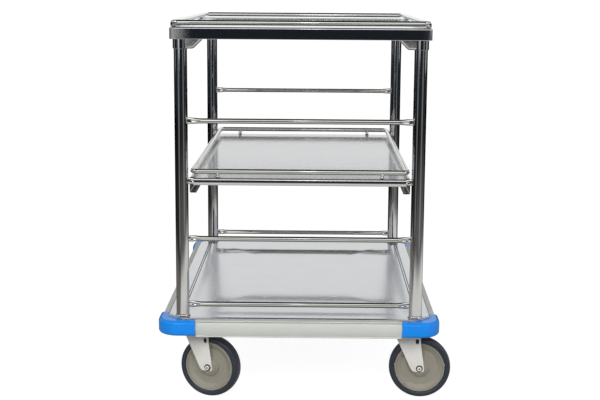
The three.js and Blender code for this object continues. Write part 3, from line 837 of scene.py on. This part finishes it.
def make_axle(corner):
    """The bolt through the fork, a washer and a hexagon at each end, and the bush the wheel turns on. The
    washers and the bolt's tip are near-black as painted shade of the recess round the bolt.
    """
    node = f"caster_{corner}_axle_bolt"
    body = f"caster_{corner}"
    place, trail = caster_frame(corner)
    along = place @ axes((trail, 0, WHEEL_RADIUS), (0, 0, 1), (1, 0, 0))
    shank = millimetres([(0, -24), (5.7, -24), (5.7, 27), (4.9, 28), (0, 28)])
    add_piece(node + "_shank", *revolve(shank, along, 40), body, [node], "stamped_steel", BOLT)
    for end, base in (("head", -26.6), ("nut", 22.9)):
        prism = extrude(hexagon(6 * MM), base * MM, (base + 3.8) * MM, along)
        head = add_piece(f"{node}_{end}", *prism, body, [node], "stamped_steel", ZINC)
        bevel(head, 0.8 * MM, 3)
    # painted shade: the tip is near-black for the shadow inside the bolt's socket
    tip = millimetres([(0, -27), (1.9, -27), (2.2, -26.7), (2.2, -26), (0, -26)])
    add_piece(node + "_centre", *revolve(tip, along, 24), body, [node], "stamped_steel", RECESS_SHADE)
    # painted shade: the washers are near-black for the shadow in the recess round the bolt
    for end, base in (("near", -22.8), ("far", 21.8)):
        washer = [(5.8, base), (7.8, base), (8.2, base + 0.3), (8.2, base + 0.7), (7.8, base + 1)]
        washer = millimetres(washer + [(5.8, base + 1)])
        name = f"{node}_washer_{end}"
        add_piece(name, *revolve(washer, along, 40), body, [node], "stamped_steel", RECESS_SHADE)
    bush = millimetres([(6.4, -18), (9.2, -18), (9.2, 18), (6.4, 18)])
    sleeve = f"caster_{corner}_bush"
    add_piece(sleeve + "_sleeve", *revolve(bush, along, 40), body, [sleeve], "stamped_steel", BOLT)


def mirrored(half):
    """Half a wheel's section and its mirror image across the wheel's middle plane."""
    return half + [(r, -v) for r, v in reversed(half)]


def make_wheel(corner):
    """A dished core with a hub and a lip ring, and the tyre round it."""
    body = f"wheel_{corner}"
    place, trail = caster_frame(corner)
    along = place @ axes((trail, 0, WHEEL_RADIUS), (0, 0, 1), (1, 0, 0))
    core = [(10.2, 17, 0), (17.6, 17, 1.2), (19.6, 12.5, 1.5), (23, 12.2, 1), (24, 6, 2), (46, 5.4, 3),
            (49.5, 8.2, 2), (56.4, 10.6, 2), (57.6, 14.6, 1), (61.2, 14.6, 1.2), (62, 12, 0)]
    core = mirrored([(r * MM, v * MM) for r, v in rounded(core, 0, False, 4)])
    node = f"caster_{corner}_wheel_core"
    add_piece(node + "_disc", *revolve(core, along, 96), body, [node], "wheel_plastic", CORE, 30)
    tyre = [(62.6, 13.2, 0), (62.8, 14.4, 0.5), (67.5, 16.2, 3), (74.6, 14.2, 5), (76.2, 4, 8), (76.2, 0, 0)]
    tyre = mirrored([(r * MM, v * MM) for r, v in rounded(tyre, 0, False, 6)][:-1])
    node = f"caster_{corner}_tyre"
    add_piece(node + "_ring", *revolve(tyre, along, 128), body, [node], "tyre_rubber", TYRE, 40)


# ---- studio ----


def add_panel(name, size, place, target, radiance, glossy=True, diffuse=True):
    """A soft rectangular light of a given radiance, facing a point."""
    light = bpy.data.lights.new(name, "AREA")
    light.shape = "RECTANGLE"
    light.size, light.size_y = size
    light.energy = radiance * math.pi * size[0] * size[1]
    lamp = bpy.data.objects.new(name, light)
    lamp.location = place
    lamp.rotation_euler = (Vector(target) - Vector(place)).to_track_quat("-Z", "Y").to_euler()
    lamp.visible_camera = False
    lamp.visible_glossy = glossy
    lamp.visible_diffuse = diffuse
    bpy.context.collection.objects.link(lamp)


def make_world():
    """White to the camera, soft light for matt surfaces and, in reflections, a dark room with pale sides."""
    world = bpy.data.worlds.new("studio")
    world.use_nodes = True
    bpy.context.scene.world = world
    tree = world.node_tree
    output = tree.nodes["World Output"]
    room = tree.nodes["Background"]
    direction = components(tree, "Generated")
    aside = remap(tree, arithmetic(tree, "ABSOLUTE", direction["X"], 0), 0, 1, 0.38, 0.62)
    above = remap(tree, direction["Z"], 0, 1, 0, 0.05)
    sides = arithmetic(tree, "MULTIPLY", aside, above)
    dark, pale = (0.016, 0.02, 0.026), (0.5, 0.52, 0.55)
    tree.links.new(blend_colours(tree, sides, dark, pale), room.inputs["Color"])
    ray = tree.nodes.new("ShaderNodeLightPath")
    shader = room.outputs[0]
    for kind, strength in (("Is Diffuse Ray", 0.32), ("Is Camera Ray", 1.05)):
        plain = tree.nodes.new("ShaderNodeBackground")
        plain.inputs["Color"].default_value = (1, 1, 1, 1)
        plain.inputs["Strength"].default_value = strength
        mix = tree.nodes.new("ShaderNodeMixShader")
        tree.links.new(ray.outputs[kind], mix.inputs[0])
        tree.links.new(shader, mix.inputs[1])
        tree.links.new(plain.outputs[0], mix.inputs[2])
        shader = mix.outputs[0]
    tree.links.new(shader, output.inputs["Surface"])


def disc(name, radius, height):
    mesh = bpy.data.meshes.new(name)
    steps = 96
    rim = [(x, y, height) for x, y in circle(0, 0, radius, steps)]
    mesh.from_pydata(rim, [], [tuple(range(steps))])
    floor = bpy.data.objects.new(name, mesh)
    bpy.context.collection.objects.link(floor)
    return floor


def make_floor():
    """A pale floor that the camera sees and the steel doesn't mirror."""
    floor = disc("floor", 2.5, -GAP)
    material, tree, shader = new_material("floor_paint", (0.3, 0.3, 0.3), 0.8, 0)
    tone = blend_colours(tree, noise(tree, 3), (0.3, 0.3, 0.3), (0.28, 0.28, 0.28))
    tree.links.new(tone, shader.inputs["Base Color"])
    shader.inputs["Emission Color"].default_value = (1, 1, 1, 1)
    shader.inputs["Emission Strength"].default_value = 0.9
    floor.data.materials.append(material)
    floor.visible_glossy = False
    floor.visible_diffuse = False


def make_reflected_floor():
    """The floor as the steel mirrors it: pale round the cart, darker under, behind and left of it."""
    floor = disc("reflected_floor", 9, -2 * GAP)
    material = bpy.data.materials.new("reflected_floor_glow")
    material.use_nodes = True
    tree = material.node_tree
    tree.nodes.clear()
    place = components(tree)
    length = tree.nodes.new("ShaderNodeVectorMath")
    length.operation = "LENGTH"
    tree.links.new(coordinates(tree, (1, 1, 1)), length.inputs[0])
    distance = length.outputs["Value"]
    near = remap(tree, distance, 0.7, 0, 2.0, 2.85)
    near.node.interpolation_type = "SMOOTHSTEP"
    far = remap(tree, distance, 0.15, 0.02, 2.4, 7)
    under = remap(tree, distance, 0.42, 1, 0.9, 1.4)
    left = remap(tree, place["X"], 0.22, 1, -1.2, -0.75)
    back = remap(tree, place["Y"], 1, 0.15, 0.2, 0.9)
    shade = arithmetic(tree, "MULTIPLY", arithmetic(tree, "MULTIPLY", left, back), under)
    glow = arithmetic(tree, "MULTIPLY", arithmetic(tree, "ADD", near, far), shade)
    emission = tree.nodes.new("ShaderNodeEmission")
    emission.inputs["Color"].default_value = (1, 0.975, 0.94, 1)
    tree.links.new(glow, emission.inputs["Strength"])
    output = tree.nodes.new("ShaderNodeOutputMaterial")
    tree.links.new(emission.outputs[0], output.inputs["Surface"])
    floor.data.materials.append(material)
    floor.visible_camera = False
    floor.visible_diffuse = False
    floor.visible_shadow = False


def make_lights():
    """One broad front light for matt surfaces, and pale panels that only show in the steel."""
    add_panel("front_light", (4.4, 1.7), (0, -4.0, 2.4), (0, 0, 0.6), 4.9, glossy=False)
    add_panel("front_panel", (4.4, 2.4), (0, -3.7, 2.6), (0, 0, 0.6), 1.3, diffuse=False)
    add_panel("deck_panel", (1.3, 0.52), (0, 1.6, 0.64), (0, 0, 0.64), 0.39, diffuse=False)
    add_panel("catch_light", (0.12, 0.3), (0.02, -3.2, 1.75), (0, 0, 0.5), 4.5, diffuse=False)
    add_panel("rail_panel", (1.5, 0.38), (0, 0.9, 1.12), (0, 0, 1.12), 0.5, diffuse=False)
    add_panel("high_back", (3.0, 1.3), (0, 3.4, 2.3), (0, 0, 0.6), 0.7, diffuse=False)
    add_panel("back_wall", (2.4, 1.4), (0, 3.3, 1.1), (0, 0, 1.1), 0.42, diffuse=False)
    add_panel("left_box", (0.5, 0.5), (-3.0, -1.8, 2.6), (0, 0, 0.2), 10)
    add_panel("right_box", (0.5, 0.5), (3.0, -1.8, 2.6), (0, 0, 0.2), 10)
    add_panel("left_strip", (1.0, 1.9), (-1.46, -2.3, 0.97), (0, 0, 0.97), 0.16, diffuse=False)
    add_panel("right_strip", (1.0, 1.9), (1.7, -2.2, 0.97), (0, 0, 0.97), 0.16, diffuse=False)
    add_panel("left_soft", (1.0, 1.3), (-1.4, -4.0, 1.3), (0, 0, 1.3), 0.8, diffuse=False)
    add_panel("left_edge", (0.35, 1.3), (-3.0, -0.2, 1.3), (0, 0, 1.3), 0.5, diffuse=False)
    add_panel("right_edge", (0.5, 1.3), (3.0, -0.6, 1.3), (0, 0, 1.3), 0.9, diffuse=False)


def make_camera():
    """Just above the top tray's height and pitched down, with a slight turn and tilt, in radians."""
    place = (0.034, -3.3379, 1.0027)
    pitch, yaw, roll = 0.172, 0.0115, 0.0065
    heading = Vector((-math.sin(yaw), math.cos(yaw), 0))
    forward = heading * math.cos(pitch) - Vector((0, 0, math.sin(pitch)))
    level = Vector((math.cos(yaw), math.sin(yaw), 0))
    upright = level.cross(forward)
    right = math.cos(roll) * level + math.sin(roll) * upright
    up = math.cos(roll) * upright - math.sin(roll) * level
    data = bpy.data.cameras.new("camera")
    data.lens = 73.37
    camera = bpy.data.objects.new("camera", data)
    turn = Matrix((right, up, -forward)).transposed().to_4x4()
    camera.matrix_world = Matrix.Translation(place) @ turn
    bpy.context.collection.objects.link(camera)
    bpy.context.scene.camera = camera


# ---- assembly ----

bpy.context.scene.view_settings.view_transform = "Standard"
make_camera()
make_world()
make_floor()
make_reflected_floor()
make_lights()
make_deck()
make_bumpers()
make_top_tray()
make_shelf()
make_galleries()
for corner_name in CORNERS:
    make_corner_bumper(corner_name)
    make_post(corner_name)
    make_bracket(corner_name)
    make_caster_plate(corner_name)
    make_king_pin(corner_name)
    make_fork(corner_name)
    make_axle(corner_name)
    make_wheel(corner_name)
for end_name in ("front", "rear"):
    for level in range(1, 5):
        make_rung(f"rung_{end_name}_{level}")

underframe = frame["nodes"]["underframe"]
underframe.data.materials.clear()
underframe.data.materials.append(STAMPED)
bevel(underframe, 1.2 * MM)
